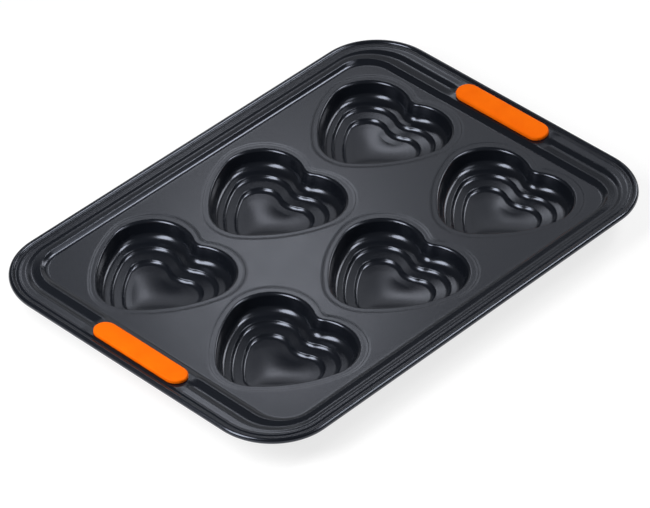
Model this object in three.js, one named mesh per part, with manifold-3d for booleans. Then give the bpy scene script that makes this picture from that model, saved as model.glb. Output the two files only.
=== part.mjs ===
// Heart muffin pan: a coated steel tray sheet with a wired rolled rim, six drawn heart cups hung in
// it by their flanges, and two silicone grips buttoned through the short sides.
// Millimetres, +Z up. The pan stands on its cup floors at Z = 0, centred on the origin, and its
// long side runs along X. The hearts' tips point to -X.
import * as THREE from "three";
import Module from "manifold-3d";
import { mergeVertices, toCreasedNormals } from "three/addons/utils/BufferGeometryUtils.js";

const wasm = await Module();
wasm.setup();

// Sheet metal and the gap between pieces that touch
const TRAY_SHEET = 0.9;
const CUP_SHEET = 0.8;
const CLEARANCE = 0.3;

// Heart outline at the mouth, where the cup's flat flange begins to turn down
const MOUTH_LOBE_RADIUS = 31;
const MOUTH_LOBE_SPREAD = 21;
const MOUTH_NOTCH_RADIUS = 8.75;
const MOUTH_TIP_REACH = 66;
const MOUTH_TIP_RADIUS = 27;
const MOUTH_SIDE_RADIUS = 105;

// Heart outline at the floor, at the foot of the lowest wall
const FLOOR_LOBE_RADIUS = 14.4;
const FLOOR_LOBE_SPREAD = 15.4;
const FLOOR_NOTCH_RADIUS = 10;
const FLOOR_TIP_REACH = 36.4;
const FLOOR_TIP_RADIUS = 9;
const FLOOR_SIDE_RADIUS = 90;
const FLOOR_SHIFT = -8.6;

// Section of a cup: one tall wall, then two ledges and two low steps down to the floor
const FLANGE_WIDTH = 3.4;
const FIRST_WALL_DEPTH = 13.8;
const STEP_DEPTH = 2.9;
const LEDGE_FALL = 0.7;
const FIRST_WALL_DRAFT = 10;
const STEP_DRAFT = 22;
const MOUTH_ROUND = 3.5;
const FIRST_FOOT_ROUND = 3;
const LEDGE_EDGE_ROUND = 1.5;
const STEP_FOOT_ROUND = 2;

// Cup pattern in the panel, and the recess that takes a flange
const CUP_COLUMNS = ["left", "middle", "right"];
const CUP_ROWS = ["front", "rear"];
const CUP_WEB_X = 7.4;
const CUP_WEB_Y = 5.2;
const END_MARGIN = 4.5;
const SIDE_MARGIN = 5;
const FLANGE_SINK = 0.2;
const RECESS_SLOPE = 0.6;

// Plan widths across the rim from the panel outwards, at the ends and the sides, with a fine ridge last
const END_RISER = 5.3;
const END_LEDGE = 8.3;
const END_STEP = 4;
const END_FLAT = 5.9;
const SIDE_RISER = 5.2;
const SIDE_LEDGE = 4.6;
const SIDE_STEP = 2.8;
const SIDE_FLAT = 1.8;
const RIDGE_INNER = 1.4;
const RIDGE_OUTER = 1.9;

// Heights above the panel where these widths end. The ledge lies lower at the ends, under the grips.
const END_RISER_TOP = 1.8;
const END_LEDGE_TOP = 1.5;
const END_STEP_TOP = 2.9;
const SIDE_RISER_TOP = 3.1;
const SIDE_LEDGE_TOP = 2.9;
const SIDE_STEP_TOP = 3.4;
const FLAT_TOP = 3.25;
const RIDGE_TOP = 3.5;
const VALLEY_TOP = 3.1;
const PANEL_CORNER_RADIUS = 22;
const PAN_CORNER_RADIUS = 48.3;

// Rolled edge round its wire
const WIRE_DIAMETER = 2;
const ROLL_SINK = 0.7;
const ROLL_FOOT = 0.7;
const CURL_START_ANGLE = 150;
const CURL_END_ANGLE = -140;

// Grips, and the flat seats that carry them
const GRIP_LENGTH = 83.8;
const GRIP_HEIGHT = 3.2;
const GRIP_EDGE_ROUND = 1.5;
const GRIP_LAP = 3;
const GRIP_UNDER_LAP = 2.4;
const GRIP_UNDER_HEIGHT = 1.8;
const SEAT_INNER_MARGIN = 1.5;
const SEAT_OUTER_MARGIN = 0.5;
const SEAT_LIFT = 0.2;
const SEAT_END_MARGIN = 3;
const SEAT_FADE = 4;

// Facets
const LOBE_STEPS = 8;
const SIDE_STEPS = 3;
const TIP_STEPS = 2;
const NOTCH_STEPS = 2;
const CORNER_STEPS = 6;
const CURL_STEPS = 8;
const CURL_INNER_STEPS = 6;
const WIRE_SIDES = 8;
const GRIP_END_STEPS = 8;
const MERGE_DISTANCE = 1e-4;
const CREASE_ANGLE = 0.6;

// Sizes that follow from the driving ones
const INSET_TOTAL = MOUTH_LOBE_SPREAD + MOUTH_LOBE_RADIUS - FLOOR_LOBE_SPREAD - FLOOR_LOBE_RADIUS;
const CUP_DEPTH = FIRST_WALL_DEPTH + 2 * (LEDGE_FALL + STEP_DEPTH);
const FLANGE_TOP_Z = CUP_SHEET + CUP_DEPTH;
const PANEL_Z = FLANGE_TOP_Z + FLANGE_SINK;
const RECESS_Z = FLANGE_TOP_Z - CUP_SHEET - CLEARANCE;
const ROLL_RADIUS = WIRE_DIAMETER / 2 + CLEARANCE + TRAY_SHEET;
const ROLL_WIDTH = 2 * ROLL_RADIUS + ROLL_FOOT;
const ROLL_Z = PANEL_Z + VALLEY_TOP - ROLL_SINK;

const radians = THREE.MathUtils.degToRad;
const mix = THREE.MathUtils.lerp;

// A surface put together from bands between rings of equal length and from flat caps.
// Rings run anticlockwise seen from above, and a solid's rings go from its top, outwards and
// round its edge, to its underside.
class Surface {
  constructor() {
    this.positions = [];
  }

  triangle(a, b, c) {
    for (const corner of [a, b, c]) this.positions.push(corner.x, corner.y, corner.z);
  }

  band(ring, next) {
    ring.forEach((corner, i) => {
      const j = (i + 1) % ring.length;
      this.triangle(corner, next[i], next[j]);
      this.triangle(corner, next[j], ring[j]);
    });
  }

  bands(rings) {
    for (let i = 0; i + 1 < rings.length; i++) this.band(rings[i], rings[i + 1]);
  }

  cap(outline, holes, facesUp) {
    const flat = (ring) => ring.map((corner) => new THREE.Vector2(corner.x, corner.y));
    const corners = [outline, ...holes].flat();
    for (const [i, j, k] of THREE.ShapeUtils.triangulateShape(flat(outline), holes.map(flat))) {
      const [a, b, c] = [corners[i], corners[j], corners[k]];
      const up = THREE.ShapeUtils.area(flat([a, b, c])) > 0;
      if (up === facesUp) this.triangle(a, b, c);
      else this.triangle(a, c, b);
    }
  }

  geometry() {
    const geometry = new THREE.BufferGeometry();
    geometry.setAttribute("position", new THREE.Float32BufferAttribute(this.positions, 3));
    return mergeVertices(geometry, MERGE_DISTANCE);
  }
}

// A solid whose rings close it from its top cap to its bottom cap.
function cappedSurface(rings) {
  const surface = new Surface();
  surface.cap(rings[0], [], true);
  surface.bands(rings);
  surface.cap(rings[rings.length - 1], [], false);
  return surface.geometry();
}

// A ring of points lifted to one height and moved across.
const lifted = (points, z, x = 0, y = 0) => points.map((p) => new THREE.Vector3(p.x + x, p.y + y, z));

function arc(centre, radius, from, to, steps) {
  const points = [];
  for (let k = 1; k <= steps; k++) {
    const angle = mix(from, to, k / steps);
    points.push(new THREE.Vector2(radius * Math.cos(angle), radius * Math.sin(angle)).add(centre));
  }
  return points;
}

// Centre of the arc of a given radius that wraps round two circles and touches both from outside.
function wrappingCentre(first, firstRadius, second, secondRadius, radius) {
  const apart = second.clone().sub(first);
  const distance = apart.length();
  const toFirst = radius - firstRadius;
  const toSecond = radius - secondRadius;
  const along = (toFirst ** 2 - toSecond ** 2 + distance ** 2) / (2 * distance);
  const across = Math.sqrt(toFirst ** 2 - along ** 2);
  apart.normalize();
  const sideways = new THREE.Vector2(apart.y, -apart.x);
  return first.clone().addScaledVector(apart, along).addScaledVector(sideways, across);
}

// Heart outline of tangent arcs: notch, lobe, side and tip, then the same mirrored. The inset is
// measured inwards from the mouth at a lobe's widest point, and below zero it is outside the mouth.
function heartOutline(inset) {
  const share = inset / INSET_TOTAL;
  const lobeRadius = mix(MOUTH_LOBE_RADIUS, FLOOR_LOBE_RADIUS, share);
  const notchRadius = mix(MOUTH_NOTCH_RADIUS, FLOOR_NOTCH_RADIUS, share);
  const tipRadius = mix(MOUTH_TIP_RADIUS, FLOOR_TIP_RADIUS, share);
  const sideRadius = mix(MOUTH_SIDE_RADIUS, FLOOR_SIDE_RADIUS, share);
  const lobe = new THREE.Vector2(FLOOR_SHIFT * share, mix(MOUTH_LOBE_SPREAD, FLOOR_LOBE_SPREAD, share));
  const notchReach = Math.sqrt((lobeRadius + notchRadius) ** 2 - lobe.y ** 2);
  const notch = new THREE.Vector2(lobe.x + notchReach, 0);
  const tipReach = mix(MOUTH_TIP_REACH, FLOOR_TIP_REACH, share);
  const tip = new THREE.Vector2(lobe.x - tipReach + tipRadius, 0);
  const side = wrappingCentre(tip, tipRadius, lobe, lobeRadius, sideRadius);
  const angleFrom = (a, b) => Math.atan2(b.y - a.y, b.x - a.x);
  const upper = [
    new THREE.Vector2(notch.x - notchRadius, 0),
    ...arc(notch, notchRadius, Math.PI, angleFrom(notch, lobe), NOTCH_STEPS),
    ...arc(lobe, lobeRadius, angleFrom(lobe, notch), angleFrom(side, lobe), LOBE_STEPS),
    ...arc(side, sideRadius, angleFrom(side, lobe), angleFrom(side, tip), SIDE_STEPS),
    ...arc(tip, tipRadius, angleFrom(side, tip), Math.PI, TIP_STEPS),
  ];
  const lower = upper.slice(1, -1).reverse();
  return [...upper, ...lower.map((p) => new THREE.Vector2(p.x, -p.y))];
}

// Section of a cup's upper face as sharp corners (inset, height), from the flange to the floor.
function cupCorners() {
  const mouth = MOUTH_ROUND * Math.tan(radians(90 - FIRST_WALL_DRAFT) / 2);
  const firstRun = FIRST_WALL_DEPTH * Math.tan(radians(FIRST_WALL_DRAFT));
  const stepRun = STEP_DEPTH * Math.tan(radians(STEP_DRAFT));
  const ledge = (INSET_TOTAL - mouth - firstRun - 2 * stepRun) / 2;
  const floorRun = 2 * STEP_FOOT_ROUND;
  const moves = [
    [mouth + FLANGE_WIDTH, 0],
    [firstRun, FIRST_WALL_DEPTH],
    [ledge, LEDGE_FALL],
    [stepRun, STEP_DEPTH],
    [ledge, LEDGE_FALL],
    [stepRun, STEP_DEPTH],
    [floorRun, 0],
  ];
  const corners = [new THREE.Vector2(-FLANGE_WIDTH, FLANGE_TOP_Z)];
  for (const [run, drop] of moves) {
    const last = corners[corners.length - 1];
    corners.push(new THREE.Vector2(last.x + run, last.y - drop));
  }
  return corners;
}

// The same section moved down and out by one sheet thickness.
function undersideCorners(corners, thickness) {
  const shifted = [];
  for (let i = 0; i + 1 < corners.length; i++) {
    const along = corners[i + 1].clone().sub(corners[i]).normalize();
    const down = new THREE.Vector2(along.y, -along.x).multiplyScalar(thickness);
    shifted.push({ along, start: corners[i].clone().add(down), end: corners[i + 1].clone().add(down) });
  }
  const result = [shifted[0].start];
  for (let i = 0; i + 1 < shifted.length; i++) {
    const a = shifted[i];
    const b = shifted[i + 1];
    const between = b.start.clone().sub(a.start);
    const reach = between.cross(b.along) / a.along.cross(b.along);
    result.push(a.start.clone().addScaledVector(a.along, reach));
  }
  result.push(shifted[shifted.length - 1].end);
  return result;
}

// Rounds each corner of a section. A fillet is held to what its two straight runs leave it.
function roundedSection(corners, radii, steps) {
  const section = [corners[0]];
  for (let i = 1; i + 1 < corners.length; i++) {
    const back = corners[i - 1].clone().sub(corners[i]);
    const ahead = corners[i + 1].clone().sub(corners[i]);
    const room = Math.min(back.length(), ahead.length()) / 2;
    back.normalize();
    ahead.normalize();
    const halfTurn = (Math.PI - Math.acos(THREE.MathUtils.clamp(back.dot(ahead), -1, 1))) / 2;
    const reach = Math.min(Math.max(radii[i - 1], 0) * Math.tan(halfTurn), room);
    const start = corners[i].clone().addScaledVector(back, reach);
    const end = corners[i].clone().addScaledVector(ahead, reach);
    const bend = new THREE.QuadraticBezierCurve(start, corners[i], end);
    if (steps[i - 1] > 0) section.push(...bend.getPoints(steps[i - 1]));
    else section.push(corners[i]);
  }
  return section;
}

// One cup about its own lobe line: floor, stepped wall and flange, then back along the underside.
function cupGeometry() {
  const corners = cupCorners();
  const radii = [
    MOUTH_ROUND,
    FIRST_FOOT_ROUND,
    LEDGE_EDGE_ROUND,
    STEP_FOOT_ROUND,
    LEDGE_EDGE_ROUND,
    STEP_FOOT_ROUND,
  ];
  const outsideOfBend = [true, false, true, false, true, false];
  const underRadii = radii.map((r, i) => (outsideOfBend[i] ? r - CUP_SHEET : r + CUP_SHEET));
  const upper = roundedSection(corners, radii, [3, 2, 1, 1, 1, 1]);
  const under = roundedSection(undersideCorners(corners, CUP_SHEET), underRadii, [1, 1, 0, 0, 0, 1]);
  const ring = (point) => lifted(heartOutline(point.x), point.y);
  return cappedSurface([...upper.reverse().map(ring), ...under.map(ring)]);
}

// Reach of a flange along X and Y about the heart's own lobe line, and the pattern that follows.
const flangeBox = new THREE.Box2().setFromPoints(heartOutline(-FLANGE_WIDTH));
const flangeSize = flangeBox.getSize(new THREE.Vector2());
const flangeCentre = flangeBox.getCenter(new THREE.Vector2());
const PITCH_X = flangeSize.x + CUP_WEB_X;
const PITCH_Y = flangeSize.y + CUP_WEB_Y;
const PANEL_HALF_LENGTH = (CUP_COLUMNS.length * PITCH_X - CUP_WEB_X) / 2 + END_MARGIN;
const PANEL_HALF_WIDTH = (CUP_ROWS.length * PITCH_Y - CUP_WEB_Y) / 2 + SIDE_MARGIN;

const cups = CUP_ROWS.flatMap((row, j) =>
  CUP_COLUMNS.map((column, i) => ({
    name: `heart_cup_${row}_${column}`,
    x: (i - (CUP_COLUMNS.length - 1) / 2) * PITCH_X - flangeCentre.x,
    y: (j - (CUP_ROWS.length - 1) / 2) * PITCH_Y - flangeCentre.y,
  })),
);

// Widths and heights across the rim, outwards from the panel's edge, and the whole pan's half sizes.
const endWidths = [END_RISER, END_LEDGE, END_STEP, END_FLAT, RIDGE_INNER, RIDGE_OUTER];
const sideWidths = [SIDE_RISER, SIDE_LEDGE, SIDE_STEP, SIDE_FLAT, RIDGE_INNER, RIDGE_OUTER];
const endTops = [END_RISER_TOP, END_LEDGE_TOP, END_STEP_TOP, FLAT_TOP, RIDGE_TOP, VALLEY_TOP];
const sideTops = [SIDE_RISER_TOP, SIDE_LEDGE_TOP, SIDE_STEP_TOP, FLAT_TOP, RIDGE_TOP, VALLEY_TOP];
const sum = (numbers) => numbers.reduce((total, n) => total + n, 0);
const END_RIM = sum(endWidths);
const SIDE_RIM = sum(sideWidths);
const PAN_HALF_LENGTH = PANEL_HALF_LENGTH + END_RIM + ROLL_WIDTH;
const PAN_HALF_WIDTH = PANEL_HALF_WIDTH + SIDE_RIM + ROLL_WIDTH;
const VALLEY_CORNER_RADIUS = PAN_CORNER_RADIUS - ROLL_WIDTH;

// Seat of a grip: the straight slope from the riser's top to the ridge at a short side.
const SEAT_RUN = END_RIM - END_RISER - RIDGE_OUTER;
const SEAT_FOOT = END_RISER_TOP;
const SEAT_TOP = RIDGE_TOP + SEAT_LIFT;
const SEAT_TILT = Math.atan2(SEAT_TOP - SEAT_FOOT, SEAT_RUN);
const GRIP_WIDTH = SEAT_RUN / Math.cos(SEAT_TILT) - SEAT_INNER_MARGIN - SEAT_OUTER_MARGIN;
const SEAT_REACH = SEAT_INNER_MARGIN + GRIP_WIDTH / 2;
const SEAT_X = PANEL_HALF_LENGTH + END_RISER + SEAT_REACH * Math.cos(SEAT_TILT);
const SEAT_Z = PANEL_Z + SEAT_FOOT + SEAT_REACH * Math.sin(SEAT_TILT);
const SEAT_HALF_LENGTH = GRIP_LENGTH / 2 + SEAT_END_MARGIN;

// How far a point at y along a short side belongs to the grip's seat, from 0 to 1.
function seatShare(y) {
  const inner = SEAT_HALF_LENGTH - SEAT_FADE / 2;
  const outer = SEAT_HALF_LENGTH + SEAT_FADE / 2;
  return 1 - THREE.MathUtils.smoothstep(Math.abs(y), inner, outer);
}

// A rounded rectangle with stations along its short sides where the grip's seat comes and goes. Its
// height goes over from that of the ends to that of the sides along each corner.
function rimRing(halfLength, halfWidth, radius, endZ, sideZ, seatZ) {
  const fade = [-0.5, -0.15, 0.15, 0.5].map((share) => SEAT_HALF_LENGTH + share * SEAT_FADE);
  const stations = [...fade.map((y) => -y).reverse(), ...fade];
  const ring = [];
  const corner = (signX, signY, from, fromZ, toZ) => {
    for (let k = 0; k <= CORNER_STEPS; k++) {
      const share = k / CORNER_STEPS;
      const angle = from + (share * Math.PI) / 2;
      const x = signX * (halfLength - radius) + radius * Math.cos(angle);
      const y = signY * (halfWidth - radius) + radius * Math.sin(angle);
      ring.push(new THREE.Vector3(x, y, mix(fromZ, toZ, THREE.MathUtils.smoothstep(share, 0, 1))));
    }
  };
  const shortSide = (signX) => {
    for (const y of stations) {
      ring.push(new THREE.Vector3(signX * halfLength, signX * y, mix(endZ, seatZ, seatShare(y))));
    }
  };
  shortSide(1);
  corner(1, 1, 0, endZ, sideZ);
  corner(-1, 1, Math.PI / 2, sideZ, endZ);
  shortSide(-1);
  corner(-1, -1, Math.PI, endZ, sideZ);
  corner(1, -1, 1.5 * Math.PI, sideZ, endZ);
  return ring;
}

// Rings of the stepped rim from the panel's edge to the roll's foot, at a height above the panel.
function steppedRings(lift) {
  const stations = [{ end: 0, side: 0, endTop: 0, sideTop: 0, seatTop: 0 }];
  for (const [share, rise] of [[0.3, 0.14], [0.7, 0.86]]) {
    const endTop = rise * END_RISER_TOP;
    const sideTop = rise * SIDE_RISER_TOP;
    stations.push({ end: share * END_RISER, side: share * SIDE_RISER, endTop, sideTop, seatTop: endTop });
  }
  endTops.forEach((endTop, i) => {
    const end = sum(endWidths.slice(0, i + 1));
    const side = sum(sideWidths.slice(0, i + 1));
    const onSeat = end <= END_RISER + SEAT_RUN;
    const seatTop = onSeat ? mix(SEAT_FOOT, SEAT_TOP, (end - END_RISER) / SEAT_RUN) : endTop;
    stations.push({ end, side, endTop, sideTop: sideTops[i], seatTop });
  });
  return stations.map(({ end, side, endTop, sideTop, seatTop }) => {
    const radius = mix(PANEL_CORNER_RADIUS, VALLEY_CORNER_RADIUS, end / END_RIM);
    const heights = [endTop, sideTop, seatTop].map((top) => PANEL_Z + lift + top);
    return rimRing(PANEL_HALF_LENGTH + end, PANEL_HALF_WIDTH + side, radius, ...heights);
  });
}

// Rings round the rolled edge at one radius about the wire, from angle to angle in degrees:
// 180 faces the panel, 90 is the top of the roll and 0 faces out.
function rollRings(radius, from, to, steps) {
  const rings = [];
  for (let k = 0; k <= steps; k++) {
    const angle = radians(mix(from, to, k / steps));
    const inset = ROLL_RADIUS - radius * Math.cos(angle);
    const z = ROLL_Z + radius * Math.sin(angle);
    const corner = PAN_CORNER_RADIUS - inset;
    rings.push(rimRing(PAN_HALF_LENGTH - inset, PAN_HALF_WIDTH - inset, corner, z, z, z));
  }
  return rings;
}

// Rings of one recess from the panel's underside, round the opening's edge, to the panel's top.
function recessRings(cup) {
  const step = PANEL_Z - RECESS_Z;
  const underShift = TRAY_SHEET * Math.tan(Math.atan2(step, RECESS_SLOPE) / 2);
  const foot = -FLANGE_WIDTH - CLEARANCE;
  const lip = foot - RECESS_SLOPE;
  const stations = [
    [lip - underShift, PANEL_Z - TRAY_SHEET],
    [foot - underShift, RECESS_Z - TRAY_SHEET],
    [-CLEARANCE, RECESS_Z - TRAY_SHEET],
    [-CLEARANCE, RECESS_Z],
    [foot, RECESS_Z],
    [lip, PANEL_Z],
  ];
  return stations.map(([inset, z]) => lifted(heartOutline(inset), z, cup.x, cup.y));
}

function solidOf(geometry) {
  const plain = new THREE.BufferGeometry().setAttribute("position", geometry.getAttribute("position"));
  plain.setIndex(geometry.index);
  const merged = mergeVertices(plain, MERGE_DISTANCE);
  const mesh = new wasm.Mesh({
    numProp: 3,
    vertProperties: merged.getAttribute("position").array,
    triVerts: new Uint32Array(merged.index.array),
  });
  return new wasm.Manifold(mesh);
}

function geometryOf(solid) {
  const mesh = solid.getMesh();
  const geometry = new THREE.BufferGeometry();
  geometry.setAttribute("position", new THREE.BufferAttribute(mesh.vertProperties, 3));
  geometry.setIndex(new THREE.BufferAttribute(mesh.triVerts, 1));
  return geometry;
}

// A stadium outline, length along Y and width along X.
function stadium(length, width) {
  const radius = width / 2;
  const centre = new THREE.Vector2(0, length / 2 - radius);
  const end = [new THREE.Vector2(radius, centre.y), ...arc(centre, radius, 0, Math.PI, GRIP_END_STEPS)];
  return [...end, ...end.map((p) => new THREE.Vector2(-p.x, -p.y))];
}

const WINDOW_LENGTH = GRIP_LENGTH - 2 * GRIP_LAP;
const WINDOW_WIDTH = GRIP_WIDTH - 2 * GRIP_LAP;

// A grip about the middle of its seat, with +X outwards: a soft pad, a waist and a button under it.
function gripGeometry() {
  const seat = CLEARANCE;
  const under = -TRAY_SHEET - CLEARANCE;
  const waist = GRIP_LAP + CLEARANCE;
  const button = GRIP_LAP - GRIP_UNDER_LAP;
  const bottom = under - GRIP_UNDER_HEIGHT;
  const top = seat + GRIP_HEIGHT;
  const stations = [];
  for (const turn of [90, 60, 30, 0]) {
    const angle = radians(turn);
    stations.push([
      GRIP_EDGE_ROUND * (1 - Math.cos(angle)),
      top - GRIP_EDGE_ROUND * (1 - Math.sin(angle)),
    ]);
  }
  stations.push([0, seat], [waist, seat], [waist, under], [button, under]);
  const buttonRound = GRIP_UNDER_HEIGHT / 2;
  stations.push([button, bottom + buttonRound], [button + buttonRound, bottom]);
  const rings = stations.map(([inset, z]) =>
    lifted(stadium(GRIP_LENGTH - 2 * inset, GRIP_WIDTH - 2 * inset), z),
  );
  return cappedSurface(rings);
}

// Cutter for a grip's window, deep enough to pass the seat from both sides.
function windowGeometry() {
  const reach = 2 * TRAY_SHEET;
  const outline = stadium(WINDOW_LENGTH, WINDOW_WIDTH);
  return cappedSurface([lifted(outline, reach), lifted(outline, -reach - TRAY_SHEET)]);
}

// Where a seat lies: the right one as it is, the left one turned half round.
function seatFrame(turn) {
  const frame = new THREE.Group();
  const seat = new THREE.Group();
  frame.rotation.z = turn;
  seat.position.set(SEAT_X, 0, SEAT_Z);
  seat.rotation.y = -SEAT_TILT;
  frame.add(seat);
  frame.updateMatrixWorld(true);
  return { frame, seat };
}

const ends = [
  { name: "grip_right", ...seatFrame(0) },
  { name: "grip_left", ...seatFrame(Math.PI) },
];

// The tray sheet: panel with six recessed openings, stepped rim and open curl, less the windows.
function trayGeometry() {
  const surface = new Surface();
  const holes = cups.map(recessRings);
  const upper = steppedRings(0);
  const under = steppedRings(-TRAY_SHEET).reverse();
  const innerRadius = ROLL_RADIUS - TRAY_SHEET;
  const outerCurl = rollRings(ROLL_RADIUS, CURL_START_ANGLE, CURL_END_ANGLE, CURL_STEPS);
  const innerCurl = rollRings(innerRadius, CURL_END_ANGLE, CURL_START_ANGLE, CURL_INNER_STEPS);
  surface.cap(upper[0], holes.map((rings) => rings[rings.length - 1]), true);
  surface.bands([...upper, ...outerCurl, ...innerCurl, ...under]);
  surface.cap(under[under.length - 1], holes.map((rings) => rings[0]), false);
  holes.forEach((rings) => surface.bands(rings));
  let solid = solidOf(surface.geometry());
  for (const { seat } of ends) {
    solid = solid.subtract(solidOf(windowGeometry().applyMatrix4(seat.matrixWorld)));
  }
  return geometryOf(solid);
}

// The wire: one closed loop in the middle of the roll.
function wireGeometry() {
  const rings = rollRings(WIRE_DIAMETER / 2, 180, -180, WIRE_SIDES);
  const surface = new Surface();
  surface.bands(rings);
  return surface.geometry();
}

const coating = new THREE.MeshStandardMaterial({ color: 0x3c3f46, roughness: 0.34, metalness: 0.25 });
const steel = new THREE.MeshStandardMaterial({ color: 0x9a9da1, roughness: 0.4, metalness: 1 });
const silicone = new THREE.MeshStandardMaterial({ color: 0xff6a00, roughness: 0.5, metalness: 0 });

function piece(name, geometry, material) {
  const mesh = new THREE.Mesh(toCreasedNormals(geometry, CREASE_ANGLE), material);
  mesh.name = name;
  return mesh;
}

const pan = new THREE.Group();
pan.add(piece("tray_sheet", trayGeometry(), coating));
pan.add(piece("rim_wire", wireGeometry(), steel));
for (const cup of cups) {
  const mesh = piece(cup.name, cupGeometry(), coating);
  mesh.position.set(cup.x, cup.y, 0);
  pan.add(mesh);
}
for (const { name, frame, seat } of ends) {
  seat.add(piece(name, gripGeometry(), silicone));
  pan.add(frame);
}

export default pan;
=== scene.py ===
"""Looks of the heart muffin pan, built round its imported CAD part.

Each CAD node is replaced by a smooth mesh of the same piece, made from rings of points. Sizes are in
millimetres and become metres when a mesh is made. The pan is rigid, so every piece rides on the one
body, "root".
"""

import math

import bpy
import numpy as np
from mathutils import Euler, Matrix, Vector
from mathutils.geometry import delaunay_2d_cdt


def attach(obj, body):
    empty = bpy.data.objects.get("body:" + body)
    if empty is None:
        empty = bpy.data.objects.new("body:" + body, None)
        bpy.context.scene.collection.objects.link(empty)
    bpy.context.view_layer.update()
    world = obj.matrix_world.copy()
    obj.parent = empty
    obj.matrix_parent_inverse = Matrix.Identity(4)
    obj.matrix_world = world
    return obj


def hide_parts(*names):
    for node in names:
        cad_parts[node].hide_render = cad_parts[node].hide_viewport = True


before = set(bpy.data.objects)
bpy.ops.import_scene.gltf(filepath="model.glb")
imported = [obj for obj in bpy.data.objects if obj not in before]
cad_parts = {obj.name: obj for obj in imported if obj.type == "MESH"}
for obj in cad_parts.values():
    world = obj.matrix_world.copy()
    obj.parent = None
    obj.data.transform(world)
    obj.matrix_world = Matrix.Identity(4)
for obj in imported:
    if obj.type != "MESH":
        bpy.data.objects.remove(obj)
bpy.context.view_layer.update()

MM = 0.001

# Sheets and the play between pieces, as in the CAD part
TRAY_SHEET = 0.9
CUP_SHEET = 0.8
CLEARANCE = 0.3

# A cup's heart at its mouth and its floor. The floor's notch is rounder than in the CAD part
MOUTH = dict(lobe_radius=31, lobe_spread=21, notch_radius=8.75,
             tip_reach=66, tip_radius=27, side_radius=105, shift=0)
FLOOR = dict(lobe_radius=14.4, lobe_spread=15.4, notch_radius=17,
             tip_reach=36.4, tip_radius=9, side_radius=90, shift=-8.6)
INSET_TOTAL = MOUTH["lobe_spread"] + MOUTH["lobe_radius"] - FLOOR["lobe_spread"] - FLOOR["lobe_radius"]

# A cup's section, as deep as in the CAD part. Its rounds and falls, and the dished floor with lower walls
# that make room for it, lead the light as in the photograph
FLANGE_WIDTH = 3.4
FIRST_WALL_DEPTH = 12.85
STEP_DEPTH = 2.275
LEDGE_FALL = 0.95
FIRST_WALL_DRAFT = math.radians(10)
STEP_DRAFT = math.radians(28)
MOUTH_RUN = 2.3
MOUTH_ROUND = 2.2
FIRST_FOOT_ROUND = 6.0
LEDGE_EDGE_ROUND = 1.3
STEP_FOOT_ROUND = 5.4
FLOOR_DISH = 1.7
FLOOR_EDGE_FALL = 0.55
FLOOR_EDGE_RUN = 6
TIP_PRESS = 0.5  # more press at the floor's tip, and less at its lobes, as a share
DISH_RINGS = 16
DISH_CENTRE = 0.06  # size of the innermost ring as a share of the outermost

# Places of the cups, as in the CAD part
CUP_COLUMNS = ("left", "middle", "right")
CUP_ROWS = ("front", "rear")
CUP_WEB = (7.4, 5.2)
END_MARGIN = 4.5
SIDE_MARGIN = 5.0

# Seam between a flange and its recess in the tray, softer than in the CAD part
FLANGE_SINK = 0.12
RECESS_SLOPE = 0.15
SEAM = 0.04
SEAM_FALL = 0.06
SEAM_SLOPE = 1.4
SEAM_ROUND = 8
SEAM_EDGE_ROUND = 0.05
FLANGE_FLAT = 0.8
FLANGE_UNDER_FLAT = 0.5
FLANGE_UNDER_ROUND = 0.3
RECESS_FLAT = 0.6
RECESS_UNDER_FLAT = 1.0
RECESS_UNDER_ROUNDS = (0.4, 0.6)
RECESS_ROUND = 0.2

# Rim from the panel outwards: riser, ledge, step, flat and both slopes of a fine ridge. The widths are those of
# the CAD part, and the heights differ by up to 0.4 mm
END_WIDTHS = (5.3, 8.3, 4.0, 5.9, 1.4, 1.9)
SIDE_WIDTHS = (5.2, 4.6, 2.8, 1.8, 1.4, 1.9)
END_TOPS = (2.1, 1.15, 3.0, 3.15, 3.5, 3.1)
SIDE_TOPS = (3.3, 2.75, 3.4, 3.25, 3.5, 3.1)
RIDGE = 4  # the ridge's place in these lists
RISER_FOOT = (0.4, 2.6)
PANEL_FLAT = 1.6
PANEL_CORNER_RADIUS = 22
PAN_CORNER_RADIUS = 48.3

# Share of the runs beside it that each bend of the rim takes up, along the top outwards and the underside inwards
TOP_BENDS = (0.5, 0.12, 0.3, 0.35, 0.35, 0.45, 0.45, 0.3)
UNDER_BENDS = (0.4, 0.45, 0.35, 0.35, 0.3, 0.5)

# Rolled edge and its wire, as in the CAD part
WIRE_DIAMETER = 2.0
ROLL_SINK = 0.7
ROLL_FOOT = 0.7
CURL_START = math.radians(150)
CURL_END = math.radians(-140)

# Grips and their seats, as in the CAD part but for the crown, the small rounds and a longer fade
GRIP_LENGTH = 83.8
GRIP_HEIGHT = 3.2
GRIP_LAP = 3
GRIP_UNDER_LAP = 2.4
GRIP_UNDER_HEIGHT = 1.8
GRIP_CROWN = 0.2
GRIP_CROWN_FLAT = 1.2
GRIP_CROWN_INSET = 2.6
GRIP_EDGE_FALL = 0.15
GRIP_EDGE_ROUND = 1.5
GRIP_FOOT_ROUND = 0.45
GRIP_WAIST_ROUND = 0.2
GRIP_BUTTON_ROUND = 0.3
GRIP_BUTTON_FLAT = 4
SEAT_INNER_MARGIN = 1.5
SEAT_OUTER_MARGIN = 0.5
SEAT_FOOT = 1.8
SEAT_LIFT = 0.2
SEAT_END_MARGIN = 3
SEAT_FADE = 8

# Points along each stretch of an outline or a section
NOTCH_STEPS, LOBE_STEPS, SIDE_STEPS, TIP_STEPS = 9, 36, 14, 12
CORNER_STEPS, FADE_STEPS, CURL_STEPS, WIRE_SIDES = 26, 14, 32, 20
GRIP_END_STEPS, GRIP_CROWN_RINGS = 20, 8

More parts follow.
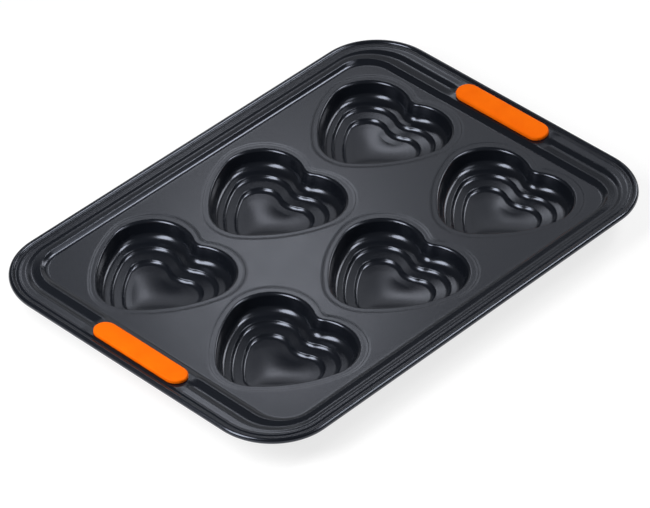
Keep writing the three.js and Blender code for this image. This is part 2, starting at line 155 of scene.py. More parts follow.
FLANGE_TOP_Z = CUP_SHEET + FIRST_WALL_DEPTH + 2 * (LEDGE_FALL + STEP_DEPTH) + FLOOR_DISH
PANEL_Z = FLANGE_TOP_Z + FLANGE_SINK
RECESS_Z = FLANGE_TOP_Z - CUP_SHEET - CLEARANCE
ROLL_RADIUS = WIRE_DIAMETER / 2 + CLEARANCE + TRAY_SHEET
ROLL_WIDTH = 2 * ROLL_RADIUS + ROLL_FOOT
ROLL_Z = PANEL_Z + END_TOPS[-1] - ROLL_SINK

# Limits of the geometry
FULLEST_RUN = 0.97  # share of a straight run that its two rounds may take up
LEAST_REACH = 1e-3
MERGE_DISTANCE = 1e-7
NEARLY_NOTHING = 1e-9


# Outlines and sections

def mix(a, b, share):
    return a + (b - a) * share


def smooth(share):
    """A share from 0 to 1 that starts and stops gently."""
    return share * share * (3 - 2 * share)


def arc(centre, radius, start, stop, steps):
    """Points of an arc about a centre, without its first."""
    angles = start + (stop - start) * np.arange(1, steps + 1) / steps
    return np.asarray(centre) + radius * np.column_stack([np.cos(angles), np.sin(angles)])


def angle_from(a, b):
    return math.atan2(b[1] - a[1], b[0] - a[0])


def heart_outline(inset):
    """Heart of tangent arcs about its lobe line, anticlockwise from the notch. Inset is from the mouth."""
    share = inset / INSET_TOTAL
    size = {name: mix(MOUTH[name], FLOOR[name], share) for name in MOUTH}
    lobe = np.array([size["shift"], size["lobe_spread"]])
    notch_reach = math.sqrt((size["lobe_radius"] + size["notch_radius"]) ** 2 - lobe[1] ** 2)
    notch = np.array([lobe[0] + notch_reach, 0])
    tip = np.array([lobe[0] - size["tip_reach"] + size["tip_radius"], 0])
    to_tip = size["side_radius"] - size["tip_radius"]
    to_lobe = size["side_radius"] - size["lobe_radius"]
    apart = lobe - tip
    distance = np.hypot(*apart)
    along = (to_tip ** 2 - to_lobe ** 2 + distance ** 2) / (2 * distance)
    across = math.sqrt(to_tip ** 2 - along ** 2)
    apart = apart / distance
    side = tip + apart * along + np.array([apart[1], -apart[0]]) * across
    upper = np.vstack([
        [notch[0] - size["notch_radius"], 0],
        arc(notch, size["notch_radius"], math.pi, angle_from(notch, lobe), NOTCH_STEPS),
        arc(lobe, size["lobe_radius"], angle_from(lobe, notch), angle_from(side, lobe), LOBE_STEPS),
        arc(side, size["side_radius"], angle_from(side, lobe), angle_from(side, tip), SIDE_STEPS),
        arc(tip, size["tip_radius"], angle_from(side, tip), math.pi, TIP_STEPS),
    ])
    return np.vstack([upper, upper[-2:0:-1] * [1, -1]])


def rounded(corners, radii, steps):
    """A section's polyline with each inner corner turned into an arc that its straight runs have room for."""
    corners = [np.asarray(c, float) for c in corners]
    lengths = [np.linalg.norm(b - a) for a, b in zip(corners, corners[1:])]
    runs = [(b - a) / length for a, b, length in zip(corners, corners[1:], lengths)]
    turns = [math.acos(np.clip(a @ b, -1, 1)) for a, b in zip(runs, runs[1:])]
    reaches = [0, *(radius * math.tan(turn / 2) for radius, turn in zip(radii, turns)), 0]
    room = [
        min(1, FULLEST_RUN * length / max(a + b, NEARLY_NOTHING))
        for length, a, b in zip(lengths, reaches, reaches[1:])
    ]
    section = [corners[0]]
    for k, turn in enumerate(turns):
        corner, back, ahead = corners[k + 1], -runs[k], runs[k + 1]
        reach = reaches[k + 1] * min(room[k], room[k + 1])
        if reach < LEAST_REACH:
            section.append(corner)
            continue
        middle = (back + ahead) / np.linalg.norm(back + ahead)
        centre = corner + middle * reach / math.sin(turn / 2)
        start, stop = corner + back * reach - centre, corner + ahead * reach - centre
        for i in range(steps + 1):
            share = i / steps
            mixed = math.sin((1 - share) * turn) * start + math.sin(share * turn) * stop
            section.append(centre + mixed / math.sin(turn))
    section.append(corners[-1])
    return section


def offset_down(corners, thickness):
    """A section's corners moved to the sheet's other face."""
    corners = [np.asarray(c, float) for c in corners]
    runs = []
    for a, b in zip(corners, corners[1:]):
        along = (b - a) / np.linalg.norm(b - a)
        runs.append((a + thickness * np.array([along[1], -along[0]]), along, b))
    result = [runs[0][0]]
    for (a, along_a, _), (b, along_b, _) in zip(runs, runs[1:]):
        reach = np.cross(b - a, along_b) / np.cross(along_a, along_b)
        result.append(a + reach * along_a)
    _, along, end = runs[-1]
    result.append(end + thickness * np.array([along[1], -along[0]]))
    return result


def lifted(outline, z, place=(0, 0)):
    """An outline as a ring of points at one height."""
    return np.column_stack([outline + np.asarray(place), np.full(len(outline), z)])


# Meshes

def sag(rings):
    """Depth of a skin held at the first ring, at each point of the rings, as a share of the greatest depth.

    The skin is made of flat triangles between the rings and is pressed harder towards -X, the heart's tip.
    """
    count, size = rings.shape[:2]
    ids = np.arange(count * size).reshape(count, size)
    after = np.roll(ids, -1, 1)
    corners = np.concatenate([
        np.stack([ids[:-1], after[:-1], ids[1:]], -1).reshape(-1, 3),
        np.stack([after[:-1], after[1:], ids[1:]], -1).reshape(-1, 3),
    ])
    a, b, c = rings.reshape(-1, 2)[corners].transpose(1, 0, 2)
    sides = np.stack([c - b, a - c, b - a], 1)
    area = np.abs((b - a)[:, 0] * (c - a)[:, 1] - (b - a)[:, 1] * (c - a)[:, 0]) / 2
    stiffness, load = np.zeros((count * size, count * size)), np.zeros(count * size)
    pulls = sides @ sides.transpose(0, 2, 1) / (4 * area[:, None, None])
    np.add.at(stiffness, (corners[:, :, None], corners[:, None, :]), pulls)
    low, high = rings[0, :, 0].min(), rings[0, :, 0].max()
    press = area * (1 + TIP_PRESS * (low + high - 2 * (a + b + c)[:, 0] / 3) / (high - low))
    np.add.at(load, corners, press[:, None] / 3)
    depth = np.zeros(count * size)
    depth[size:] = np.linalg.solve(stiffness[size:, size:], load[size:])
    return depth.reshape(count, size) / depth.max()


class Surface:
    """Faces between rings of points, all anticlockwise from above, that follow a sheet from its top face
    round its edge to its underside."""

    def __init__(self):
        self.points = []
        self.faces = []
        self.count = 0

    def ring(self, points):
        """Adds a ring's points and gives their numbers."""
        first = self.count
        self.points.append(points)
        self.count += len(points)
        return np.arange(first, self.count)

    def band(self, ring, after):
        for i in range(len(ring)):
            j = (i + 1) % len(ring)
            self.faces.append((ring[i], after[i], after[j], ring[j]))

    def bands(self, rings, closed=False):
        for a, b in zip(rings, rings[1:]):
            self.band(a, b)
        if closed:
            self.band(rings[-1], rings[0])

    def cap(self, ring, faces_up):
        """Closes a flat ring with one face."""
        self.faces.append(tuple(ring if faces_up else ring[::-1]))

    def dish(self, outline, z, ring, depth, faces_up):
        """Closes a ring with a shallow dish."""
        middle = (outline.max(0) + outline.min(0)) / 2
        shares = np.linspace(1, DISH_CENTRE, DISH_RINGS)
        rings = middle + (outline - middle) * shares[:, None, None]
        heights = z - depth * sag(rings)
        for points, level in zip(rings[1:], heights[1:]):
            after = self.ring(np.column_stack([points, level]))
            self.band(*((after, ring) if faces_up else (ring, after)))
            ring = after
        self.cap(ring, faces_up)

    def panel(self, outline, holes, faces_up):
        """Fills the flat between an outline and its holes."""
        ids = np.concatenate([outline, *holes])
        points = np.vstack(self.points)[ids, :2]
        edges, rings, first = [], [], 0
        for ring in (outline, *holes):
            edges += [(first + i, first + (i + 1) % len(ring)) for i in range(len(ring))]
            rings.append(points[first:first + len(ring)])
            first += len(ring)
        result = delaunay_2d_cdt([Vector(p) for p in points], edges, [], 0, MERGE_DISTANCE)
        kept = [sources[0] for sources in result[3]]
        for face in result[2]:
            corners = [kept[i] for i in face]
            middle = points[corners].mean(0)
            if not inside(rings[0], middle) or any(inside(hole, middle) for hole in rings[1:]):
                continue
            a, b, c = points[corners]
            if (np.cross(b - a, c - a) > 0) != faces_up:
                corners.reverse()
            self.faces.append(tuple(ids[i] for i in corners))

    def mesh(self, name):
        """A Blender mesh of the surface, in metres."""
        mesh = bpy.data.meshes.new(name)
        points = (np.vstack(self.points) * MM).tolist()
        mesh.from_pydata(points, [], [tuple(map(int, f)) for f in self.faces], shade_flat=False)
        mesh.update()
        return mesh


def inside(outline, point):
    """Whether a point lies within an outline, by the edges that a line to its right crosses."""
    x, y = point
    a, b = outline, np.roll(outline, -1, axis=0)
    crosses = (a[:, 1] > y) != (b[:, 1] > y)
    drop = np.where(crosses, b[:, 1] - a[:, 1], 1)
    at = a[:, 0] + (y - a[:, 1]) * (b[:, 0] - a[:, 0]) / drop
    return np.count_nonzero(crosses & (x < at)) % 2 == 1


def shade(mesh):
    """Smooth shading in which large faces keep their own direction and small fillet faces bend to it."""
    normals = np.zeros((len(mesh.polygons), 3))
    areas = np.zeros(len(mesh.polygons))
    sizes = np.zeros(len(mesh.polygons), int)
    corners = np.zeros(len(mesh.loops), int)
    mesh.polygons.foreach_get("normal", normals.ravel())
    mesh.polygons.foreach_get("area", areas)
    mesh.polygons.foreach_get("loop_total", sizes)
    mesh.loops.foreach_get("vertex_index", corners)
    weighted = np.zeros((len(mesh.vertices), 3))
    np.add.at(weighted, corners, np.repeat(normals * areas[:, None], sizes, axis=0))
    lengths = np.linalg.norm(weighted, axis=1, keepdims=True)
    least = 1e-20  # areas are in square metres, so true lengths are small too
    mesh.normals_split_custom_set_from_vertices((weighted / np.maximum(lengths, least)).tolist())


def piece(name, mesh, material, slot, *nodes):
    """A shown object that stands for CAD nodes on the pan's one body."""
    mesh.materials.clear()
    mesh.materials.append(material)
    made = bpy.data.objects.new(name, mesh)
    bpy.context.scene.collection.objects.link(made)
    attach(made, "root")
    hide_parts(*nodes)
    return made


# Materials

RELIEF_DEPTH = 0.00003  # metres
COLOUR_SPAN = (0.35, 0.65)  # noise values at which a blend of colours starts and stops
NUMBER_SPAN = (0.3, 0.7)  # noise values at which a range of numbers starts and stops


def new_material(name):
    material = bpy.data.materials.new(name)
    material.use_nodes = True
    nodes, links = material.node_tree.nodes, material.node_tree.links
    return material, nodes, links, nodes["Principled BSDF"]


def noise(nodes, links, scale, detail, roughness=0.5):
    """Noise in the piece's own coordinates, scale in features per metre."""
    place = nodes.new("ShaderNodeTexCoord")
    texture = nodes.new("ShaderNodeTexNoise")
    texture.inputs["Scale"].default_value = scale
    texture.inputs["Detail"].default_value = detail
    texture.inputs["Roughness"].default_value = roughness
    links.new(place.outputs["Object"], texture.inputs["Vector"])
    return texture.outputs["Fac"]


def ramp(nodes, links, source, low, high):
    """A noise value turned into a blend of two colours."""
    blend = nodes.new("ShaderNodeValToRGB")
    for element, position, colour in zip(blend.color_ramp.elements, COLOUR_SPAN, (low, high)):
        element.position, element.color = position, (*colour, 1)
    links.new(source, blend.inputs["Fac"])
    return blend.outputs["Color"]


def spread(nodes, links, source, low, high):
    """A noise value spread over a range of numbers."""
    reach = nodes.new("ShaderNodeMapRange")
    reach.inputs["From Min"].default_value, reach.inputs["From Max"].default_value = NUMBER_SPAN
    reach.inputs["To Min"].default_value, reach.inputs["To Max"].default_value = low, high
    links.new(source, reach.inputs["Value"])
    return reach.outputs["Result"]


def bump(nodes, links, source, shader, strength):
    """Fine relief on a shader."""
    relief = nodes.new("ShaderNodeBump")
    relief.inputs["Distance"].default_value = RELIEF_DEPTH
    relief.inputs["Strength"].default_value = strength
    links.new(source, relief.inputs["Height"])
    links.new(relief.outputs["Normal"], shader.inputs["Normal"])


def coated_steel():
    """Charcoal non-stick coating: fine speckle, uneven satin sheen, the faint orange peel of a sprayed film."""
    material, nodes, links, shader = new_material("charcoal non-stick coating")
    speckle = noise(nodes, links, scale=2600, detail=3.0, roughness=0.6)
    colour = ramp(nodes, links, speckle, low=(0.0042, 0.0053, 0.0080), high=(0.0056, 0.0069, 0.0100))
    links.new(colour, shader.inputs["Base Color"])
    sheen = noise(nodes, links, scale=45, detail=3.0)
    links.new(spread(nodes, links, sheen, low=0.195, high=0.215), shader.inputs["Roughness"])
    shader.inputs["IOR"].default_value = 1.6
    shader.inputs["Specular Tint"].default_value = (0.78, 0.84, 1.0, 1)
    peel = noise(nodes, links, scale=1500, detail=2.0)
    bump(nodes, links, peel, shader, strength=0.06)
    return material


def drawn_wire():
    """Plain drawn steel with fine scratches."""
    material, nodes, links, shader = new_material("drawn steel wire")
    shader.inputs["Metallic"].default_value = 1.0
    scratch = noise(nodes, links, scale=900, detail=4.0, roughness=0.7)
    colour = ramp(nodes, links, scratch, low=(0.36, 0.37, 0.38), high=(0.47, 0.48, 0.49))
    links.new(colour, shader.inputs["Base Color"])
    links.new(spread(nodes, links, scratch, low=0.32, high=0.48), shader.inputs["Roughness"])
    bump(nodes, links, scratch, shader, strength=0.15)
    return material


def silicone():
    """Orange silicone: even colour with a soft bloom, a satin skin and a barely visible moulding grain."""
    material, nodes, links, shader = new_material("orange silicone")
    bloom = noise(nodes, links, scale=70, detail=3.0)
    colour = ramp(nodes, links, bloom, low=(0.91, 0.140, 0.0008), high=(0.95, 0.158, 0.0012))
    links.new(colour, shader.inputs["Base Color"])
    grain = noise(nodes, links, scale=3200, detail=2.0)
    links.new(spread(nodes, links, grain, low=0.5, high=0.6), shader.inputs["Roughness"])
    shader.inputs["Specular IOR Level"].default_value = 0.05
    bump(nodes, links, grain, shader, strength=0.1)
    return material


# The cups

def cup_mesh():
    """A drawn cup about its lobe line: flange, tall wall, two ledges with a low step each, dished floor."""
    first_run = FIRST_WALL_DEPTH * math.tan(FIRST_WALL_DRAFT)
    step_run = STEP_DEPTH * math.tan(STEP_DRAFT)
    ledge = (INSET_TOTAL - MOUTH_RUN - first_run - 2 * step_run) / 2
    stair = [(ledge, LEDGE_FALL), (step_run, STEP_DEPTH)]
    moves = [
        (MOUTH_RUN + FLANGE_WIDTH, 0),
        (first_run, FIRST_WALL_DEPTH),
        *stair,
        *stair,
        (FLOOR_EDGE_RUN, FLOOR_EDGE_FALL),
    ]
    corners = [np.array([-FLANGE_WIDTH, FLANGE_TOP_Z])]
    for run, drop in moves:
        corners.append(corners[-1] + [run, -drop])
    stair_rounds = (LEDGE_EDGE_ROUND, STEP_FOOT_ROUND)
    rounds = [(MOUTH_ROUND, FIRST_FOOT_ROUND), stair_rounds, stair_rounds]
    radii = [radius for brow, foot in rounds for radius in (brow, foot)]
    under_radii = [radius for brow, foot in rounds for radius in (brow - CUP_SHEET, foot + CUP_SHEET)]
    upper = rounded(corners, radii, steps=9)
    under = rounded(offset_down(corners, CUP_SHEET), under_radii, steps=5)
    seam = upper[0] + [SEAM_SLOPE, 0]
    flange_edge = [
        seam + [FLANGE_FLAT, 0],
        seam,
        upper[0] + [0, FLANGE_SINK - SEAM_FALL],
        under[0],
        under[0] + [FLANGE_UNDER_FLAT, 0],
    ]
    edge = rounded(flange_edge, [SEAM_ROUND, SEAM_EDGE_ROUND, FLANGE_UNDER_ROUND], steps=5)
    surface = Surface()
    section = [*upper[:0:-1], *edge, *under[1:]]
    rings = [surface.ring(lifted(heart_outline(inset), z)) for inset, z in section]
    surface.bands(rings)
    for inset, z, ring, faces_up in ((*upper[-1], rings[0], True), (*under[-1], rings[-1], False)):
        surface.dish(heart_outline(inset), z, ring, FLOOR_DISH - FLOOR_EDGE_FALL, faces_up)
    mesh = surface.mesh("heart_cup")
    shade(mesh)
    return mesh


flange = heart_outline(-FLANGE_WIDTH)
flange_size = flange.max(0) - flange.min(0)
flange_centre = (flange.max(0) + flange.min(0)) / 2
PITCH = flange_size + np.array(CUP_WEB)
COUNTS = np.array([len(CUP_COLUMNS), len(CUP_ROWS)])
PANEL_HALF = (COUNTS * PITCH - CUP_WEB) / 2 + [END_MARGIN, SIDE_MARGIN]

cup_places = {
    f"heart_cup_{row}_{column}": (np.array([i, j]) - (COUNTS - 1) / 2) * PITCH - flange_centre
    for j, row in enumerate(CUP_ROWS)
    for i, column in enumerate(CUP_COLUMNS)
}


# The rim

PAN_HALF = PANEL_HALF + [sum(END_WIDTHS) + ROLL_WIDTH, sum(SIDE_WIDTHS) + ROLL_WIDTH]
SEAT_RUN = sum(END_WIDTHS[1:RIDGE + 1])
SEAT_TOP = END_TOPS[RIDGE] + SEAT_LIFT
SEAT_TILT = math.atan2(SEAT_TOP - SEAT_FOOT, SEAT_RUN)
GRIP_WIDTH = SEAT_RUN / math.cos(SEAT_TILT) - SEAT_INNER_MARGIN - SEAT_OUTER_MARGIN
SEAT_REACH = SEAT_INNER_MARGIN + GRIP_WIDTH / 2
SEAT_X = PANEL_HALF[0] + END_WIDTHS[0] + SEAT_REACH * math.cos(SEAT_TILT)
SEAT_Z = PANEL_Z + SEAT_FOOT + SEAT_REACH * math.sin(SEAT_TILT)
SEAT_HALF_LENGTH = GRIP_LENGTH / 2 + SEAT_END_MARGIN


def rim_ring(half_length, half_width, radius, end_z, side_z, seat_z):
    """A rounded rectangle whose short sides go over to the height of a grip's seat."""
    shares = np.linspace(0, 1, FADE_STEPS + 1)
    fade = SEAT_HALF_LENGTH + (shares - 0.5) * SEAT_FADE
    heights = seat_z + (end_z - seat_z) * smooth(shares)
    side = np.column_stack([np.full(len(fade), half_length), fade, heights])
    right = np.vstack([side[::-1] * [1, -1, 1], side])
    ring = [right]
    turns = np.linspace(0, 1, CORNER_STEPS + 1)
    for quarter, sign in enumerate([(1, 1), (-1, 1), (-1, -1), (1, -1)]):
        angles = (quarter + turns) * math.pi / 2
        centre = np.array(sign) * (np.array([half_length, half_width]) - radius)
        over = smooth(turns) if quarter % 2 == 0 else smooth(1 - turns)
        corner = centre + radius * np.column_stack([np.cos(angles), np.sin(angles)])
        ring.append(np.column_stack([corner, end_z + (side_z - end_z) * over]))
        if quarter == 1:
            ring.append(right * [-1, -1, 1])
    return np.vstack(ring)


def stepped_stations(thickness):
    """Stations across the rim: end and side width, height at an end, a side and a seat, corner radius."""
    valley_radius = PAN_CORNER_RADIUS - ROLL_WIDTH
    base = PANEL_Z - thickness

    def station(end, side, end_top, side_top, seat_top):
        radius = mix(PANEL_CORNER_RADIUS, valley_radius, end / sum(END_WIDTHS))
        return np.array([end, side, base + end_top, base + side_top, base + seat_top, radius])

    stations = [station(-PANEL_FLAT, -PANEL_FLAT, 0, 0, 0), station(*RISER_FOOT, 0, 0, 0)]
    ends, sides = np.cumsum(END_WIDTHS), np.cumsum(SIDE_WIDTHS)
    for k, (end, side, end_top, side_top) in enumerate(zip(ends, sides, END_TOPS, SIDE_TOPS)):
        seat_top = mix(SEAT_FOOT, SEAT_TOP, (end - END_WIDTHS[0]) / SEAT_RUN) if k <= RIDGE else end_top
        stations.append(station(end, side, end_top, side_top, seat_top))
    return stations


def roll_station(radius, angle):
    """A station on a circle about the wire's middle."""
    inset = ROLL_RADIUS - radius * math.cos(angle)
    z = ROLL_Z + radius * math.sin(angle)
    end = PAN_HALF[0] - PANEL_HALF[0] - inset
    side = PAN_HALF[1] - PANEL_HALF[1] - inset
    return np.array([end, side, z, z, z, PAN_CORNER_RADIUS - inset])


def eased(stations, reaches, steps):
    """Stations with a smooth bend of a share of its neighbours' runs at each inner one."""
    result = [stations[0]]
    for before, here, after, reach in zip(stations, stations[1:], stations[2:], reaches):
        start, stop = mix(here, before, reach), mix(here, after, reach)
        for k in range(steps + 1):
            share = k / steps
            result.append(mix(mix(start, here, share), mix(here, stop, share), share))
    result.append(stations[-1])
    return result


def station_ring(station):
    end, side, end_z, side_z, seat_z, radius = station
    return rim_ring(PANEL_HALF[0] + end, PANEL_HALF[1] + side, radius, end_z, side_z, seat_z)


def recess_section():
    """Section of a cup's recess as (inset, height), from the panel's underside to its top."""
    step = PANEL_Z - RECESS_Z
    under_shift = TRAY_SHEET * math.tan(math.atan2(step, RECESS_SLOPE) / 2)
    foot = -FLANGE_WIDTH - SEAM
    lip = foot - RECESS_SLOPE
    corners = [
        (lip - under_shift - RECESS_UNDER_FLAT, PANEL_Z - TRAY_SHEET),
        (lip - under_shift, PANEL_Z - TRAY_SHEET),
        (foot - under_shift, RECESS_Z - TRAY_SHEET),
        (-CLEARANCE, RECESS_Z - TRAY_SHEET),
        (-CLEARANCE, RECESS_Z),
        (foot, RECESS_Z),
        (lip, PANEL_Z - SEAM_FALL),
        (lip - SEAM_SLOPE, PANEL_Z),
        (lip - SEAM_SLOPE - RECESS_FLAT, PANEL_Z),
    ]
    top_rounds = (RECESS_ROUND, RECESS_ROUND, RECESS_ROUND, SEAM_EDGE_ROUND, SEAM_ROUND)
    return rounded(corners, [*RECESS_UNDER_ROUNDS, *top_rounds], steps=5)


def tray_mesh():
    """The tray without its windows: panel with six recesses, stepped rim and the open curl round the wire."""
    surface = Surface()
    section = recess_section()
    holes = []
    for place in cup_places.values():
        rings = [surface.ring(lifted(heart_outline(inset), z, place)) for inset, z in section]
        surface.bands(rings)
        holes.append(rings)
    curl = np.linspace(CURL_START, CURL_END, CURL_STEPS + 1)
    outer = [roll_station(ROLL_RADIUS, angle) for angle in curl]
    inner = [roll_station(ROLL_RADIUS - TRAY_SHEET, angle) for angle in curl[::-1]]
    upper = eased([*stepped_stations(0), *outer[:2]], TOP_BENDS, steps=7)
    under = eased(stepped_stations(TRAY_SHEET)[::-1], UNDER_BENDS, steps=5)
    rings = [surface.ring(station_ring(s)) for s in (*upper, *outer[2:], *inner, *under)]
    surface.bands(rings)
    surface.panel(rings[0], [hole[-1] for hole in holes], True)
    surface.panel(rings[-1], [hole[0] for hole in holes], False)
    return surface.mesh("tray_sheet")


def wire_mesh():
    """The closed loop of wire in the rolled edge."""
    surface = Surface()
    angles = np.linspace(math.pi, -math.pi, WIRE_SIDES + 1)[:-1]
    rings = [surface.ring(station_ring(roll_station(WIRE_DIAMETER / 2, angle))) for angle in angles]
    surface.bands(rings, closed=True)
    mesh = surface.mesh("rim_wire")
    shade(mesh)
    return mesh


# The grips

def stadium(length, width):
    """A strip along Y with half-round ends, anticlockwise."""
    radius = width / 2
    centre = np.array([0, length / 2 - radius])
    end = np.vstack([[radius, centre[1]], arc(centre, radius, 0, math.pi, GRIP_END_STEPS)])
    return np.vstack([end, -end])


def stadium_surface(section):
    """A solid of stadium rings given as (inset from the grip's outline, height), from its top down."""
    surface = Surface()
    rings = []
    for inset, z in section:
        outline = stadium(GRIP_LENGTH - 2 * inset, GRIP_WIDTH - 2 * inset)
        rings.append(surface.ring(lifted(outline, z)))
    surface.cap(rings[0], True)
    surface.bands(rings)
    surface.cap(rings[-1], False)
    return surface


def grip_mesh():
    """Pad with a soft crown, waist through the sheet and button below it, about the middle of its seat."""
    top = CLEARANCE + GRIP_HEIGHT
    under = -TRAY_SHEET - CLEARANCE
    waist = GRIP_LAP + CLEARANCE
    button = GRIP_LAP - GRIP_UNDER_LAP
    bottom = under - GRIP_UNDER_HEIGHT
    inner = GRIP_WIDTH / 2 - GRIP_CROWN_FLAT
    insets = np.linspace(inner, GRIP_CROWN_INSET, GRIP_CROWN_RINGS)
    top_face = [(inset, top - GRIP_CROWN * (1 - inset / inner) ** 2) for inset in insets]
    corners = [
        top_face[-1],
        (0, top - GRIP_CROWN - GRIP_EDGE_FALL),
        (0, CLEARANCE),
        (waist, CLEARANCE),
        (waist, under),
        (button, under),
        (button, bottom),
        (button + GRIP_BUTTON_FLAT, bottom),
    ]
    radii = [
        GRIP_EDGE_ROUND, GRIP_FOOT_ROUND, GRIP_WAIST_ROUND,
        GRIP_WAIST_ROUND, GRIP_BUTTON_ROUND, GRIP_UNDER_HEIGHT / 2,
    ]
    sides = rounded(corners, radii, steps=8)
    mesh = stadium_surface([*top_face, *sides[1:]]).mesh("grip")
    shade(mesh)
    return mesh


def seat_matrix(turn):
    """Place of a seat's middle: the right one as it is, the left one turned half round."""
    place = Matrix.Translation(Vector((SEAT_X, 0, SEAT_Z)) * MM)
    tilt = Euler((0, -SEAT_TILT, 0)).to_matrix().to_4x4()
    return Matrix.Rotation(turn, 4, "Z") @ place @ tilt


SEATS = {"grip_right": seat_matrix(0), "grip_left": seat_matrix(math.pi)}


def cut_windows(mesh):
    """The tray's mesh with a window for each grip's waist, cut from above the sheet to below it."""
    blank = bpy.data.objects.new("tray_blank", mesh)
    bpy.context.scene.collection.objects.link(blank)
    cutters = []
    for matrix in SEATS.values():
        cutter = stadium_surface([(GRIP_LAP, 2 * TRAY_SHEET), (GRIP_LAP, -3 * TRAY_SHEET)]).mesh("window")
        cutter.transform(matrix)
        made = bpy.data.objects.new("window", cutter)
        bpy.context.scene.collection.objects.link(made)
        cutters.append(made)
        cut = blank.modifiers.new("window", "BOOLEAN")
        cut.operation, cut.solver, cut.object = "DIFFERENCE", "EXACT", made
    depsgraph = bpy.context.evaluated_depsgraph_get()
    result = bpy.data.meshes.new_from_object(blank.evaluated_get(depsgraph))
    result.name = "tray_sheet"
    for made in (blank, *cutters):
        bpy.data.objects.remove(made)
    shade(result)
    return result


# The pan

coating = coated_steel()
rubber = silicone()

piece("tray", cut_windows(tray_mesh()), coating, "coated_steel", "tray_sheet")
piece("wire", wire_mesh(), drawn_wire(), "wire_steel", "rim_wire")
cup_form = cup_mesh()
for name, place in cup_places.items():
    cup = piece(name.replace("heart_", ""), cup_form, coating, "coated_steel", name)
    cup.location = Vector((*place, 0)) * MM
grip_form = grip_mesh()
for name, matrix in SEATS.items():
    grip = piece(name.replace("grip", "silicone_grip"), grip_form, rubber, "silicone", name)
    grip.matrix_world = matrix


# The studio, in metres

PAN_MIDDLE = (0, 0, 0.022)
TABLE_HALF = 4.0
TABLE_DROP = 0.0003  # keeps the table clear of the cups' floors
TABLE_GREY = 0.28
TABLE_GLOW = 0.76
STUDIO_GREY = 0.08

# The photograph's camera, fitted to the pan's outline
CAMERA_AZIMUTH = math.radians(-46.61)
CAMERA_ELEVATION = math.radians(39.31)
CAMERA_DISTANCE = 3.0142
CAMERA_AIM = (-20.28, -16.85, 24.6)  # millimetres
CAMERA_REACH = 30
SENSOR_WIDTH = 36  # millimetres
FOCAL_LENGTH = 4348  # pixels
PHOTO_WIDTH = 650  # pixels


def softbox(name, bearing, elevation, distance, size, radiance, aim=PAN_MIDDLE):
    """A soft light seen from its aim at a bearing from +X and a height, both in degrees."""
    bearing, elevation = math.radians(bearing), math.radians(elevation)
    lamp = bpy.data.lights.new(name, "AREA")
    lamp.shape = "ELLIPSE"
    lamp.size, lamp.size_y = size
    lamp.energy = math.pi ** 2 / 4 * size[0] * size[1] * radiance
    towards = Vector((
        math.cos(bearing) * math.cos(elevation),
        math.sin(bearing) * math.cos(elevation),
        math.sin(elevation),
    ))
    made = bpy.data.objects.new(name, lamp)
    made.location = Vector(aim) + towards * distance
    made.rotation_mode = "QUATERNION"
    made.rotation_quaternion = (-towards).to_track_quat("-Z", "Y")
    bpy.context.scene.collection.objects.link(made)


def shown_ray(nodes, links):
    """1 for rays that show the background: straight from the camera, or by way of a gloss or a glass."""
    path = nodes.new("ShaderNodeLightPath")
    total = path.outputs["Is Camera Ray"]
    for name in ("Is Glossy Ray", "Is Transmission Ray"):
        largest = nodes.new("ShaderNodeMath")
        largest.operation = "MAXIMUM"
        links.new(total, largest.inputs[0])
        links.new(path.outputs[name], largest.inputs[1])
        total = largest.outputs[0]
    return total


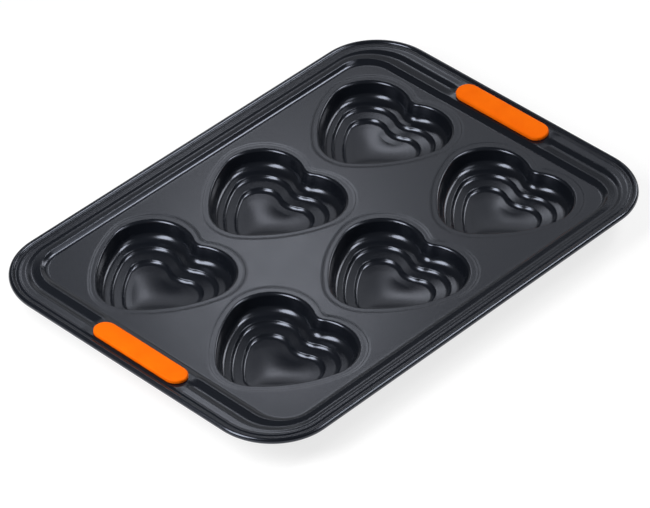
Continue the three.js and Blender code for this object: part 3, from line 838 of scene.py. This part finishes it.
def pale_floor():
    """A white table top that keeps the pan's soft shadow."""
    mesh = bpy.data.meshes.new("floor")
    corners = [(x * TABLE_HALF, y * TABLE_HALF, 0) for x, y in ((-1, -1), (1, -1), (1, 1), (-1, 1))]
    mesh.from_pydata(corners, [], [(0, 1, 2, 3)])
    made = bpy.data.objects.new("floor", mesh)
    made.location.z = -TABLE_DROP
    bpy.context.scene.collection.objects.link(made)
    material, nodes, links, shader = new_material("pale table")
    shader.inputs["Base Color"].default_value = (TABLE_GREY, TABLE_GREY, TABLE_GREY, 1)
    shader.inputs["Roughness"].default_value = 0.9
    shader.inputs["Specular IOR Level"].default_value = 0.1
    shader.inputs["Emission Color"].default_value = (1, 1, 1, 1)
    lift = nodes.new("ShaderNodeMath")
    lift.operation = "MULTIPLY"
    lift.inputs[1].default_value = TABLE_GLOW
    links.new(shown_ray(nodes, links), lift.inputs[0])
    links.new(lift.outputs[0], shader.inputs["Emission Strength"])
    mesh.materials.append(material)


def studio_world():
    """A dim grey studio round the table."""
    world = bpy.data.worlds.new("studio")
    bpy.context.scene.world = world
    world.use_nodes = True
    background = world.node_tree.nodes["Background"]
    background.inputs["Color"].default_value = (STUDIO_GREY, STUDIO_GREY, STUDIO_GREY, 1)


def photo_camera():
    """The photograph's long lens, 39 degrees above the pan, off its front left corner."""
    back = Vector((
        math.sin(CAMERA_AZIMUTH) * math.cos(CAMERA_ELEVATION),
        -math.cos(CAMERA_AZIMUTH) * math.cos(CAMERA_ELEVATION),
        math.sin(CAMERA_ELEVATION),
    ))
    camera = bpy.data.cameras.new("camera")
    camera.sensor_width = SENSOR_WIDTH
    camera.lens = SENSOR_WIDTH * FOCAL_LENGTH / PHOTO_WIDTH
    camera.clip_end = CAMERA_REACH
    made = bpy.data.objects.new("camera", camera)
    made.location = Vector(CAMERA_AIM) * MM + back * CAMERA_DISTANCE
    made.rotation_mode = "QUATERNION"
    made.rotation_quaternion = (-back).to_track_quat("-Z", "Y")
    bpy.context.scene.collection.objects.link(made)
    bpy.context.scene.camera = made


pale_floor()
studio_world()
photo_camera()

# Each light's bearing, elevation, distance, size and radiance, and its aim where that isn't the pan's middle
softbox("key", 172, 44, 1.0, (0.52, 0.74), 10.5)
softbox("right", -22, 51, 2.0, (0.76, 0.66), 10.5)
softbox("side", 2, 28, 1.0, (0.24, 0.34), 5.0)
softbox("fill", -60, 40, 1.0, (0.4, 0.4), 2.0)
softbox("glow", 44.2, 39.8, 2.0, (0.24, 0.22), 3.6, (-0.075, -0.02, 0.022))
softbox("back", 42, 35.5, 2.0, (1.3, 0.62), 0.56, (-0.06, -0.03, 0.022))
softbox("low", 47, 14, 1.3, (1.7, 0.3), 0.45)
bpy.context.scene.view_settings.view_transform = "Standard"
